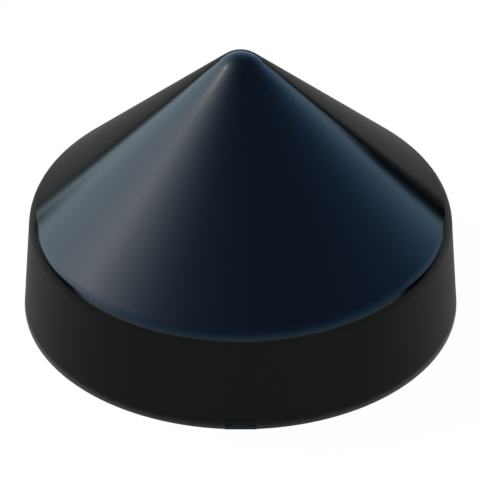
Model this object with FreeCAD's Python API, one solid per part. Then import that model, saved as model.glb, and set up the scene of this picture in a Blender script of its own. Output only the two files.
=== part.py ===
import FreeCAD, Part
import math
import os

# A conical cap for a round timber pile: one moulded polyethylene shell, open underneath.
# Millimetres and degrees. +Z is up, the rim stands on z = 0 and the axis of the cap is Z.
# -Y is the front, where the trimmed gate is.

# What the cap fits over
pile_diameter = 304.8
pile_clearance = 1.0

# Shell
wall = 4.0
skirt_height = 80.3
draft_angle = 2.5
cone_angle = 45.0
shoulder_radius = 18.5
tip_radius = 22.2

# Rim
lip_height = 1.6
lip_radius = 3.0
mouth_radius = 0.8

# Trimmed gate, a low nib left on the outside of the rim: its width and the heights of its two cuts,
# and how far it stands out of the skirt at each height
gate_width = 23.2
gate_edge_height = 1.15
gate_edge_proud = 1.22
gate_knee_height = 2.8
gate_knee_proud = 0.55
gate_height = 4.4
gate_top_proud = 0.12
gate_end_height = 3.2


# Angles of the section, and the radii where the wall line and the cone line would meet

draft = math.radians(draft_angle)
slope = math.radians(cone_angle)

socket_radius = pile_diameter / 2 + pile_clearance
corner_radius = socket_radius + wall / math.cos(draft)


def skirt_outside(height):
    """Radius of the skirt's outer face at a height above the rim."""
    return corner_radius + (skirt_height - height) * math.tan(draft)


def skirt_inside(height):
    """Radius of the skirt's inner face, one wall inside the outer one."""
    return skirt_outside(height) - wall / math.cos(draft)


def at(radius, height):
    """A point of the half section."""
    return FreeCAD.Vector(radius, 0, height)


def on_arc(centre, radius, angle):
    """A point of an arc of the half section, its angle counted up from the radial direction."""
    return centre + radius * at(math.cos(angle), math.sin(angle))


def arc(centre, radius, start, end):
    """An arc of the half section between two angles."""
    middle = (start + end) / 2
    points = [on_arc(centre, radius, angle) for angle in (start, middle, end)]
    return Part.Arc(*points).toShape()


def line(start, end):
    """A straight edge of the half section."""
    return Part.LineSegment(start, end).toShape()


# Centres of the round stretches. A face's angle is that of its outward normal above the horizontal:
# the skirt's is the draft, and the cone's is what its slope leaves of a right angle.

cone_normal = math.pi / 2 - slope

# The shoulder's centre lies one shoulder radius inside both the skirt and the cone.
turn = (cone_normal - draft) / 2
shoulder_centre = at(corner_radius, skirt_height) - (shoulder_radius / math.cos(turn)) * at(
    math.cos(draft + turn), math.sin(draft + turn)
)

# The tip's centre is on the axis, one tip radius inside the cone.
apex_height = skirt_height + corner_radius * math.tan(slope)
tip_centre = at(0, apex_height - tip_radius / math.sin(cone_normal))

# The lip rolls in from the skirt down to the rim's flat face.
lip_start = at(skirt_outside(lip_height), lip_height)
lip_centre = lip_start - lip_radius * at(math.cos(draft), math.sin(draft))
lip_end = -math.asin(lip_centre.z / lip_radius)

# The socket's mouth has a small round edge between its inner face and the rim's flat face.
mouth_centre = at(skirt_inside(mouth_radius) + mouth_radius / math.cos(draft), mouth_radius)


def shell():
    """The whole shell, turned from its half section: the inner face keeps one wall from the outer."""
    inner_shoulder = shoulder_radius - wall
    inner_tip = tip_radius - wall
    zenith = math.pi / 2

    outer_rim = on_arc(lip_centre, lip_radius, lip_end)
    skirt_foot = on_arc(lip_centre, lip_radius, draft)
    skirt_top = on_arc(shoulder_centre, shoulder_radius, draft)
    cone_foot = on_arc(shoulder_centre, shoulder_radius, cone_normal)
    cone_top = on_arc(tip_centre, tip_radius, cone_normal)
    summit = on_arc(tip_centre, tip_radius, zenith)

    ceiling = on_arc(tip_centre, inner_tip, zenith)
    inner_cone_top = on_arc(tip_centre, inner_tip, cone_normal)
    inner_cone_foot = on_arc(shoulder_centre, inner_shoulder, cone_normal)
    socket_top = on_arc(shoulder_centre, inner_shoulder, draft)
    socket_foot = on_arc(mouth_centre, mouth_radius, math.pi + draft)
    inner_rim = on_arc(mouth_centre, mouth_radius, 3 * math.pi / 2)

    section = Part.Wire(
        [
            arc(lip_centre, lip_radius, lip_end, draft),
            line(skirt_foot, skirt_top),
            arc(shoulder_centre, shoulder_radius, draft, cone_normal),
            line(cone_foot, cone_top),
            arc(tip_centre, tip_radius, cone_normal, zenith),
            line(summit, ceiling),
            arc(tip_centre, inner_tip, zenith, cone_normal),
            line(inner_cone_top, inner_cone_foot),
            arc(shoulder_centre, inner_shoulder, cone_normal, draft),
            line(socket_top, socket_foot),
            arc(mouth_centre, mouth_radius, math.pi + draft, 3 * math.pi / 2),
            line(inner_rim, outer_rim),
        ]
    )
    return Part.Face(section).revolve(at(0, 0), at(0, 1), 360)


def gate():
    """The nib where the moulding gate was cut off, arched above and straight along its outer edge."""
    root_radius = skirt_outside(0) - wall / 2
    rim_radius = on_arc(lip_centre, lip_radius, lip_end).x
    edge_radius = skirt_outside(gate_edge_height) + gate_edge_proud
    knee_radius = skirt_outside(gate_knee_height) + gate_knee_proud
    top_radius = skirt_outside(gate_height) + gate_top_proud
    upper_cut = (gate_height - gate_knee_height) / (knee_radius - top_radius)
    root_height = gate_height + upper_cut * (top_radius - root_radius)
    half_width = gate_width / 2

    # Seen from the side: a flat cut leans in from the outer edge, and a steeper one runs into the skirt.
    side = Part.makePolygon(
        [
            FreeCAD.Vector(-half_width, -radius, height)
            for radius, height in (
                (root_radius, 0),
                (rim_radius, 0),
                (edge_radius, gate_edge_height),
                (knee_radius, gate_knee_height),
                (root_radius, root_height),
                (root_radius, 0),
            )
        ]
    )
    wedge = Part.Face(side).extrude(FreeCAD.Vector(gate_width, 0, 0))

    # Seen from the front: upright ends with one arc over them.
    left_foot, left, top, right, right_foot = [
        FreeCAD.Vector(across, -edge_radius, height)
        for across, height in (
            (-half_width, 0),
            (-half_width, gate_end_height),
            (0, gate_height),
            (half_width, gate_end_height),
            (half_width, 0),
        )
    ]
    front = Part.Wire(
        [
            line(left_foot, left),
            Part.Arc(left, top, right).toShape(),
            line(right, right_foot),
            line(right_foot, left_foot),
        ]
    )
    arch = Part.Face(front).extrude(FreeCAD.Vector(0, edge_radius - root_radius, 0))
    return wedge.common(arch)


def pile_cap():
    """The cap as it leaves the mould: one solid."""
    return shell().fuse(gate()).removeSplitter().Solids[0]


os.makedirs("parts", exist_ok=True)
pile_cap().exportStep("parts/pile_cap.step")
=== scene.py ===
import math

import bpy
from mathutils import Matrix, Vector


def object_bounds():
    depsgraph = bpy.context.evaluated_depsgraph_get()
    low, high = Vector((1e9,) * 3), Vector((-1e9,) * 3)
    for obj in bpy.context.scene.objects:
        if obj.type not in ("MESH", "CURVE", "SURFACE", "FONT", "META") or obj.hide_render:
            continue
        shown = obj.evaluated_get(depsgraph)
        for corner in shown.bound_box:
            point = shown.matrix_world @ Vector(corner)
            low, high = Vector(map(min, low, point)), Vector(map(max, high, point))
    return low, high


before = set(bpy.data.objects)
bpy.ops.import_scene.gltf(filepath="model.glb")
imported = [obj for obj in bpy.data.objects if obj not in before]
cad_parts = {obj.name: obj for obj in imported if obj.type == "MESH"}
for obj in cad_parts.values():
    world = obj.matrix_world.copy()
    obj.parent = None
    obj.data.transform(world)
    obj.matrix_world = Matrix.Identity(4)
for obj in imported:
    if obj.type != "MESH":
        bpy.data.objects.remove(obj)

cad_low, cad_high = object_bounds()

# Sizes are in metres. A bearing is in degrees round from the right by way of the back, and a height that is
# an angle is in degrees above the floor.
MM = 0.001

# Camera: seen without perspective, from the corner of a cube above the front
VIEW_BEARING = 270.0
VIEW_HEIGHT = math.degrees(math.atan(1 / math.sqrt(2)))
VIEW_WIDTH = 0.35755
LOOK_AT = Vector((-0.00046, 0.0, 0.0594))
CAMERA_DISTANCE = 2.0

# Moulded skin: soft clouds in its black and in its roughness, between two values of the cloud
CLOUD_WIDTH = 40 * MM
CLOUD_DETAIL = 3.0
CLOUD_RANGE = (0.3, 0.7)
SKIN_TONES = ("#040404", "#050505")
SKIN_ROUGHNESS = (0.11, 0.13)
SKIN_IOR = 1.5
MATT_ROUGHNESS = 0.6

# Share of the shine that stays clear, as the skin turns away from the eye
TURNED_AWAY = (0.60, 0.85)
CLEAR_SHARE = (0.475, 0.34)

# Rim: how high its shiny band reaches, how far its shine leans down, and the room left for the nib
RIM_BAND = 7.5 * MM
RIM_LEAN = -0.54
NIB_HALF_WIDTH = 11.7 * MM
NIB_TOP = 4.5 * MM

# Tip: the stretch of cone below the dome where the shine leans up, the stretch of the top where that
# fades, and how far it leans
DOME_HEIGHT = 6.5 * MM
TIP_BLEND = 32 * MM
TIP_FADE = 7.5 * MM
TIP_LEAN = 0.08

# Floor: a square of paper with clumps of fibre in its tone, and how much whiter than that tone it looks,
# straight on and in the cap's skin
FLOOR_SIZE = 3.3
FIBRE_CLUMP = 2.5 * MM
FIBRE_RANGE = (0.3, 0.7)
PAPER_TONES = ("#302b22", "#332d25")
PAPER_LIFT = 0.975
PAPER_TINT = "#ffffff"
PAPER_LIFT_IN_GLOSS = 0.427
PAPER_TINT_IN_GLOSS = "#f8fff9"

# Sky: how high each colour is, as the sine of the angle above the floor. The first is the ground far off.
SKY_STRENGTH = 2.31
SKY = [
    (0.0, "#575757"),
    (0.012, "#a2c7da"),
    (0.05, "#a7cde9"),
    (0.11, "#b0dafc"),
    (0.17, "#9ed1fa"),
    (0.28, "#7eb5e8"),
    (0.408, "#6892c7"),
    (0.525, "#5a80b2"),
    (0.625, "#506f99"),
    (0.78, "#4b698e"),
]

# Ahead of the cap the low sky loses a share of its strength. Each pair gives where a soft step starts and
# where it is full, as the sine or cosine of the angle.
SKY_DIM_AHEAD = 0.25
AHEAD = (0.30, -0.20)
LOW_SKY = (0.35, 0.15)

# Haze along the horizon ahead, and its warm end on the left
HAZE_TOP = (0.08, -0.03)
HAZE_STRENGTH = 1.15
HAZE_COLOUR = "#ebf9ff"
WARM_END = (-0.30, -1.0)
WARM_HAZE_STRENGTH = 1.4
WARM_HAZE_COLOUR = "#fffadb"

# Glows: bearing, height, strength, tightness and tint. They fade in over the foot of the sky.
GLOWS = {
    "window": (164.0, 39.5, 8.25, 150.0, "#fffce7"),
    "round_the_window": (168.0, 34.5, 3.47, 11.3, "#f1f7e2"),
    "left_wall": (168.5, 29.0, 2.03, 3.8, "#a9bff6"),
    "low_behind_left": (136.5, 0.0, 1.66, 4.9, "#f7ffe7"),
    "back_wall": (85.5, 19.5, 1.27, 7.1, "#a6d3ff"),
    "high_front_left": (228.5, 50.0, 0.12, 14.3, "#ffeda1"),
}
GLOW_FOOT = (0.0, 0.05)

# Black nets that stand outside the picture. The foot is the point that the net is measured from, and the
# bearing is the way it runs. Its near and far parts lean that way by a length for each metre up. Both ways
# the net thickens from open at the first line to dense at the second, and thins again from the third line
# to the fourth.
NETS = {
    "left_net": {
        "foot": (-0.6, 0.0),
        "bearing": 90.0,
        "leans": (0.0, -2.2),
        "lines_across": (-0.16, -0.06, 0.28, 0.37),
        "lines_up": (0.01, 0.035, 0.13, 0.18),
    },
    "right_net": {
        "foot": (0.6, 0.0),
        "bearing": 90.0,
        "leans": (0.0, -2.2),
        "lines_across": (-0.16, -0.06, 0.28, 0.36),
        "lines_up": (0.01, 0.035, 0.14, 0.185),
    },
    "far_left_net": {
        "foot": (-0.6, 0.0),
        "bearing": 90.0,
        "leans": (0.0, 0.0),
        "lines_across": (0.36, 0.46, 0.515, 0.60),
        "lines_up": (0.01, 0.05, 0.115, 0.20),
    },
    "back_net": {
        "foot": (0.346, 0.490),
        "bearing": -35.3,
        "leans": (-0.8, -0.8),
        "lines_across": (0.092, 0.155, 0.262, 0.332),
        "lines_up": (0.05, 0.08, 0.17, 0.205),
    },
}
THREAD_WIDTH = 1.7 * MM
THREAD_RANGE = (0.3, 0.7)
NET_TONES = ("#010101", "#030303")


def direction(bearing, height):
    """The way that a bearing and a height point, both in degrees."""
    turn = math.radians(bearing)
    rise = math.radians(height)
    return Vector((math.cos(turn) * math.cos(rise), math.sin(turn) * math.cos(rise), math.sin(rise)))


def linear(colour):
    """An sRGB hex colour such as "#1a2b3c" as linear red, green, blue and full alpha."""
    parts = [int(colour[place:place + 2], 16) / 255 for place in (1, 3, 5)]
    return (
        *(part / 12.92 if part <= 0.04045 else ((part + 0.055) / 1.055) ** 2.4 for part in parts),
        1.0,
    )


def add(tree, kind, inputs=(), **settings):
    """Adds a node with its settings and links.

    Inputs are given in their order or by name. Each is a value, the output that feeds it, or the node whose
    first output does.
    """
    made = tree.nodes.new(kind)
    for name, value in settings.items():
        setattr(made, name, value)
    named = inputs if isinstance(inputs, dict) else dict(enumerate(inputs))
    for name, value in named.items():
        if isinstance(value, bpy.types.Node):
            value = value.outputs[0]
        if isinstance(value, bpy.types.NodeSocket):
            tree.links.new(value, made.inputs[name])
        else:
            made.inputs[name].default_value = value
    return made


def fill_ramp(ramp, stops):
    """Sets a new colour ramp's stops, each a place and an sRGB hex colour."""
    (place, colour), *others = stops
    ramp.elements.remove(ramp.elements[-1])
    ramp.elements[0].position = place
    ramp.elements[0].color = linear(colour)
    for place, colour in others:
        ramp.elements.new(place).color = linear(colour)


def new_material(name):
    """An empty material and its nodes."""
    material = bpy.data.materials.new(name)
    material.use_nodes = True
    material.node_tree.nodes.clear()
    return material, material.node_tree


def highlight_band(tree, across, up):
    """How far a point lies in the highlight band along the rim, which leaves out the nib's width."""
    low = add(tree, "ShaderNodeMapRange", (up, RIM_BAND, 0.0), interpolation_type="SMOOTHSTEP")
    aside = add(tree, "ShaderNodeMath", (across,), operation="ABSOLUTE")
    beside_nib = add(tree, "ShaderNodeMath", (aside, NIB_HALF_WIDTH), operation="GREATER_THAN")
    above_nib = add(tree, "ShaderNodeMath", (up, NIB_TOP), operation="GREATER_THAN")
    off_nib = add(tree, "ShaderNodeMath", (beside_nib, above_nib), operation="MAXIMUM")
    return add(tree, "ShaderNodeMath", (low, off_nib), operation="MULTIPLY")


def tip_blend(tree, up):
    """How far a point lies in the stretch round the top of the cone, below the dome and on its foot."""
    top = cad_high[2]
    cone_top = top - DOME_HEIGHT
    rise = add(
        tree, "ShaderNodeMapRange", (up, cone_top - TIP_BLEND, cone_top), interpolation_type="SMOOTHSTEP"
    )
    fade = add(tree, "ShaderNodeMapRange", (up, top, top - TIP_FADE), interpolation_type="SMOOTHSTEP")
    return add(tree, "ShaderNodeMath", (rise, fade), operation="MULTIPLY")


def moulded_polyethylene():
    """Black polyethylene, moulded in a polished tool: a deep black with a clear but held-back gloss."""
    material, tree = new_material("moulded_black_polyethylene")
    place = add(tree, "ShaderNodeTexCoord").outputs["Object"]
    cloud = add(
        tree, "ShaderNodeTexNoise", {"Vector": place, "Scale": 1 / CLOUD_WIDTH, "Detail": CLOUD_DETAIL}
    )
    colour = add(tree, "ShaderNodeValToRGB", (cloud,))
    fill_ramp(colour.color_ramp, zip(CLOUD_RANGE, SKIN_TONES))
    rough = add(tree, "ShaderNodeMapRange", (cloud, *CLOUD_RANGE, *SKIN_ROUGHNESS))

    # The body of the plastic, coloured through with carbon black, has no shine of its own
    matt = add(
        tree,
        "ShaderNodeBsdfPrincipled",
        {"Base Color": colour, "Roughness": MATT_ROUGHNESS, "IOR": SKIN_IOR, "Specular IOR Level": 0.0},
    )

    # The moulded skin scatters much of the shine, and more of it at a shallow angle
    facing = add(tree, "ShaderNodeLayerWeight").outputs["Facing"]
    share = add(tree, "ShaderNodeMapRange", (facing, *TURNED_AWAY, *CLEAR_SHARE))

    # A highlight band along the rim's lower edge: there the gloss is made full and the shading normal leans
    # down, so that it catches more of the floor's reflection
    parts = add(tree, "ShaderNodeSeparateXYZ", (place,)).outputs
    rim_highlight = highlight_band(tree, parts["X"], parts["Z"])
    share = add(tree, "ShaderNodeMapRange", (rim_highlight, 0.0, 1.0, share, 1.0))
    lean = add(tree, "ShaderNodeMath", (rim_highlight, RIM_LEAN), operation="MULTIPLY")

    # Below the domed tip the shine leans up a little, as if the cone blended into the dome
    blend = tip_blend(tree, parts["Z"])
    lean = add(tree, "ShaderNodeMath", (blend, TIP_LEAN, lean), operation="MULTIPLY_ADD")
    tilt = add(tree, "ShaderNodeCombineXYZ", {"Z": lean})
    outward = add(tree, "ShaderNodeNewGeometry").outputs["Normal"]
    leant = add(tree, "ShaderNodeVectorMath", (outward, tilt), operation="ADD")
    leant = add(tree, "ShaderNodeVectorMath", (leant,), operation="NORMALIZE")
    gloss = add(
        tree,
        "ShaderNodeBsdfPrincipled",
        {"Base Color": colour, "Roughness": rough, "IOR": SKIN_IOR, "Normal": leant},
    )
    skin = add(tree, "ShaderNodeMixShader", (share, matt, gloss))
    add(tree, "ShaderNodeOutputMaterial", {"Surface": skin})
    return material


def uncoated_paper():
    """White paper, pressed and left uncoated: a plain bright ground that keeps the cap's soft shadow."""
    material, tree = new_material("uncoated_white_paper")
    place = add(tree, "ShaderNodeTexCoord").outputs["Object"]
    fibre = add(tree, "ShaderNodeTexNoise", {"Vector": place, "Scale": 1 / FIBRE_CLUMP})
    tone = add(tree, "ShaderNodeValToRGB", (fibre,))
    fill_ramp(tone.color_ramp, zip(FIBRE_RANGE, PAPER_TONES))
    lit = add(tree, "ShaderNodeBsdfDiffuse", (tone,))

    # Its whiteness is seen straight on and in the cap's shine, and puts no other light on the cap
    path = add(tree, "ShaderNodeLightPath").outputs
    straight = add(
        tree, "ShaderNodeMath", (path["Is Camera Ray"], path["Is Transmission Ray"]), operation="MAXIMUM"
    )
    for seen, lift, tint in (
        (straight, PAPER_LIFT, PAPER_TINT),
        (path["Is Glossy Ray"], PAPER_LIFT_IN_GLOSS, PAPER_TINT_IN_GLOSS),
    ):
        strength = add(tree, "ShaderNodeMath", (seen, lift), operation="MULTIPLY")
        white = add(tree, "ShaderNodeEmission", (linear(tint), strength))
        lit = add(tree, "ShaderNodeAddShader", (lit, white))
    add(tree, "ShaderNodeOutputMaterial", {"Surface": lit})
    return material


def woven_netting():
    """Black netting, woven: it darkens what lies behind it, softly where thin and fully where dense."""
    material, tree = new_material("woven_black_netting")
    place = add(tree, "ShaderNodeTexCoord").outputs["Object"]
    thread = add(tree, "ShaderNodeTexNoise", {"Vector": place, "Scale": 1 / THREAD_WIDTH})
    tone = add(tree, "ShaderNodeValToRGB", (thread,))
    fill_ramp(tone.color_ramp, zip(THREAD_RANGE, NET_TONES))
    cloth = add(tree, "ShaderNodeBsdfDiffuse", (tone,))
    gaps = add(tree, "ShaderNodeBsdfTransparent")
    weave = add(tree, "ShaderNodeAttribute", attribute_name="weave").outputs["Fac"]
    netting = add(tree, "ShaderNodeMixShader", (weave, gaps, cloth))
    add(tree, "ShaderNodeOutputMaterial", {"Surface": netting})
    return material


def new_object(name, data):
    """Puts a new object in the scene."""
    made = bpy.data.objects.new(name, data)
    bpy.context.scene.collection.objects.link(made)
    return made


def sheet(name, corners, faces, material):
    """A thin sheet of one material."""
    mesh = bpy.data.meshes.new(name)
    mesh.from_pydata(corners, [], faces)
    mesh.materials.append(material)
    return new_object(name, mesh)


def floor():
    """The flat sheet that the cap stands on."""
    half = FLOOR_SIZE / 2
    corners = [(-half, -half, 0.0), (half, -half, 0.0), (half, half, 0.0), (-half, half, 0.0)]
    made = sheet("floor", corners, [(0, 1, 2, 3)], uncoated_paper())


def net(name, material, foot, bearing, leans, lines_across, lines_up):
    """A black net that shows in the cap's shine and nowhere else."""
    near, far = leans
    way = direction(bearing, 0.0)
    corners = [
        Vector((*foot, up)) + way * (across + lean * up)
        for up in lines_up
        for across, lean in zip(lines_across, (near, near, far, far))
    ]
    count = len(lines_across)
    faces = [
        (start, start + 1, start + count + 1, start + count)
        for row in range(len(lines_up) - 1)
        for start in range(row * count, row * count + count - 1)
    ]
    made = sheet(name, corners, faces, material)
    weave = made.data.attributes.new("weave", "FLOAT", "POINT")
    for number, point in enumerate(weave.data):
        row, column = divmod(number, count)
        point.value = float(0 < row < len(lines_up) - 1 and 0 < column < count - 1)
    made.visible_camera = False
    made.visible_diffuse = False
    made.visible_shadow = False


def nets():
    """The black nets at the sides and the back. Their dark lines bring out the cap's curves."""
    material = woven_netting()
    for name, sizes in NETS.items():
        net(name, material, **sizes)


def studio_light():
    """The soft light all round: a sky that is blue low down, a pale haze ahead, and broad soft glows."""
    world = bpy.data.worlds.new("studio")
    bpy.context.scene.world = world
    world.use_nodes = True
    tree = world.node_tree
    tree.nodes.clear()
    towards = add(tree, "ShaderNodeTexCoord").outputs["Generated"]
    parts = add(tree, "ShaderNodeSeparateXYZ", (towards,)).outputs
    ahead, low, hazy, warm, clear_of_foot = [
        add(tree, "ShaderNodeMapRange", (parts[axis], *span), interpolation_type="SMOOTHSTEP")
        for axis, span in (
            ("Y", AHEAD),
            ("Z", LOW_SKY),
            ("Z", HAZE_TOP),
            ("X", WARM_END),
            ("Z", GLOW_FOOT),
        )
    ]

    # The sky, which is dimmer low down ahead
    colour = add(tree, "ShaderNodeValToRGB", (parts["Z"],))
    fill_ramp(colour.color_ramp, SKY)
    dim = add(tree, "ShaderNodeMath", (ahead, low), operation="MULTIPLY")
    strength = add(
        tree,
        "ShaderNodeMath",
        (dim, -SKY_DIM_AHEAD * SKY_STRENGTH, SKY_STRENGTH),
        operation="MULTIPLY_ADD",
    )
    light = add(tree, "ShaderNodeBackground", (colour, strength))

    # The haze, and its warm end
    haze = add(tree, "ShaderNodeMath", (ahead, hazy), operation="MULTIPLY")
    warm_haze = add(tree, "ShaderNodeMath", (haze, warm), operation="MULTIPLY")
    for share, full, tint in (
        (haze, HAZE_STRENGTH, HAZE_COLOUR),
        (warm_haze, WARM_HAZE_STRENGTH, WARM_HAZE_COLOUR),
    ):
        strength = add(tree, "ShaderNodeMath", (share, full), operation="MULTIPLY")
        glow = add(tree, "ShaderNodeBackground", (linear(tint), strength))
        light = add(tree, "ShaderNodeAddShader", (light, glow))

    # Each glow is brightest along its direction
    for bearing, height, full, tightness, tint in GLOWS.values():
        facing = add(
            tree, "ShaderNodeVectorMath", (towards, direction(bearing, height)), operation="DOT_PRODUCT"
        ).outputs["Value"]
        facing = add(tree, "ShaderNodeMath", (facing, 0.0), operation="MAXIMUM")
        spread = add(tree, "ShaderNodeMath", (facing, tightness), operation="POWER")
        spread = add(tree, "ShaderNodeMath", (spread, clear_of_foot), operation="MULTIPLY")
        strength = add(tree, "ShaderNodeMath", (spread, full), operation="MULTIPLY")
        glow = add(tree, "ShaderNodeBackground", (linear(tint), strength))
        light = add(tree, "ShaderNodeAddShader", (light, glow))
    add(tree, "ShaderNodeOutputWorld", {"Surface": light})


def camera():
    """The camera, without perspective, at the photograph's angle."""
    data = bpy.data.cameras.new("camera")
    data.type = "ORTHO"
    data.ortho_scale = VIEW_WIDTH
    made = new_object("camera", data)
    back = direction(VIEW_BEARING, VIEW_HEIGHT)
    made.location = LOOK_AT + back * CAMERA_DISTANCE
    made.rotation_euler = back.to_track_quat("Z", "Y").to_euler()
    bpy.context.scene.camera = made


polyethylene = moulded_polyethylene()
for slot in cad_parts["pile_cap"].material_slots:
    slot.material = polyethylene

floor()
nets()
studio_light()
camera()
bpy.context.scene.view_settings.view_transform = "Standard"
